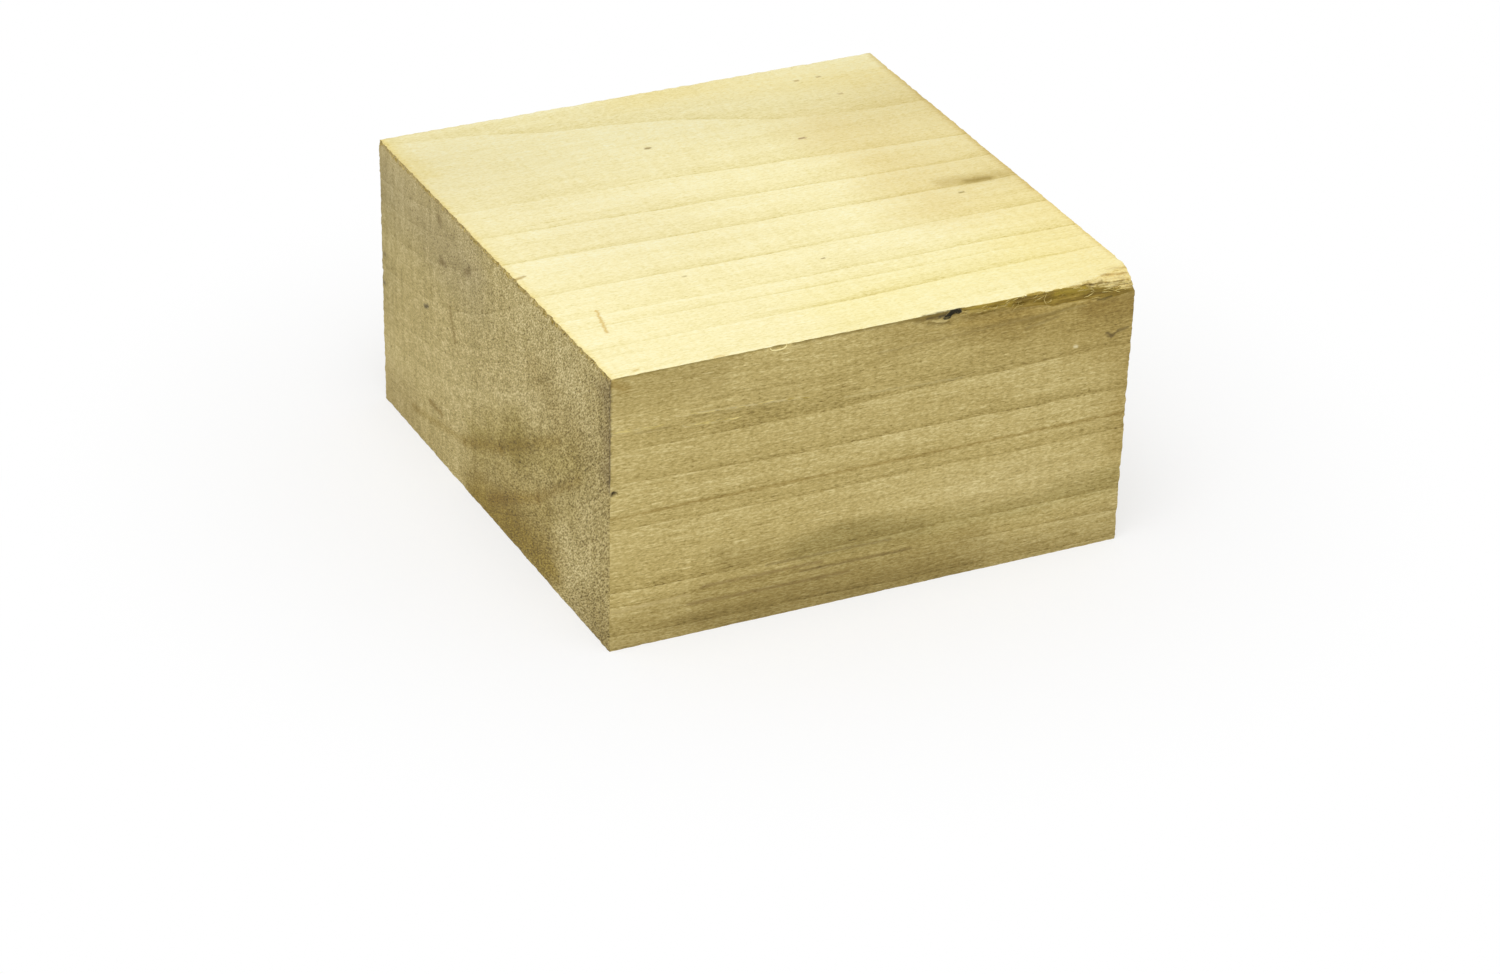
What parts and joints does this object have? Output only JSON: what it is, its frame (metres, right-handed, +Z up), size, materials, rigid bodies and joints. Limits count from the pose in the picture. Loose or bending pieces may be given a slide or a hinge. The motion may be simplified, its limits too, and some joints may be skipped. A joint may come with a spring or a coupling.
{
  "type": "wood bowl blank",
  "caption": "Rough-sawn block of pale wood with flat sawn faces and a torn, rounded corner, ready to be mounted on a lathe and turned into a bowl.",
  "frame": {"origin": "middle of the sawn face that the block rests on", "axes": "+X along the grain towards the end with the rounded corner, +Y across the grain from the front face to the back face, +Z up through the thickness"},
  "size_m": [0.15, 0.152, 0.079],
  "materials": {
    "sawn_poplar": "rough sawn, unfinished"
  },
  "bodies": {
    "root": {"bowl_blank": "sawn_poplar"}
  },
  "joints": []
}
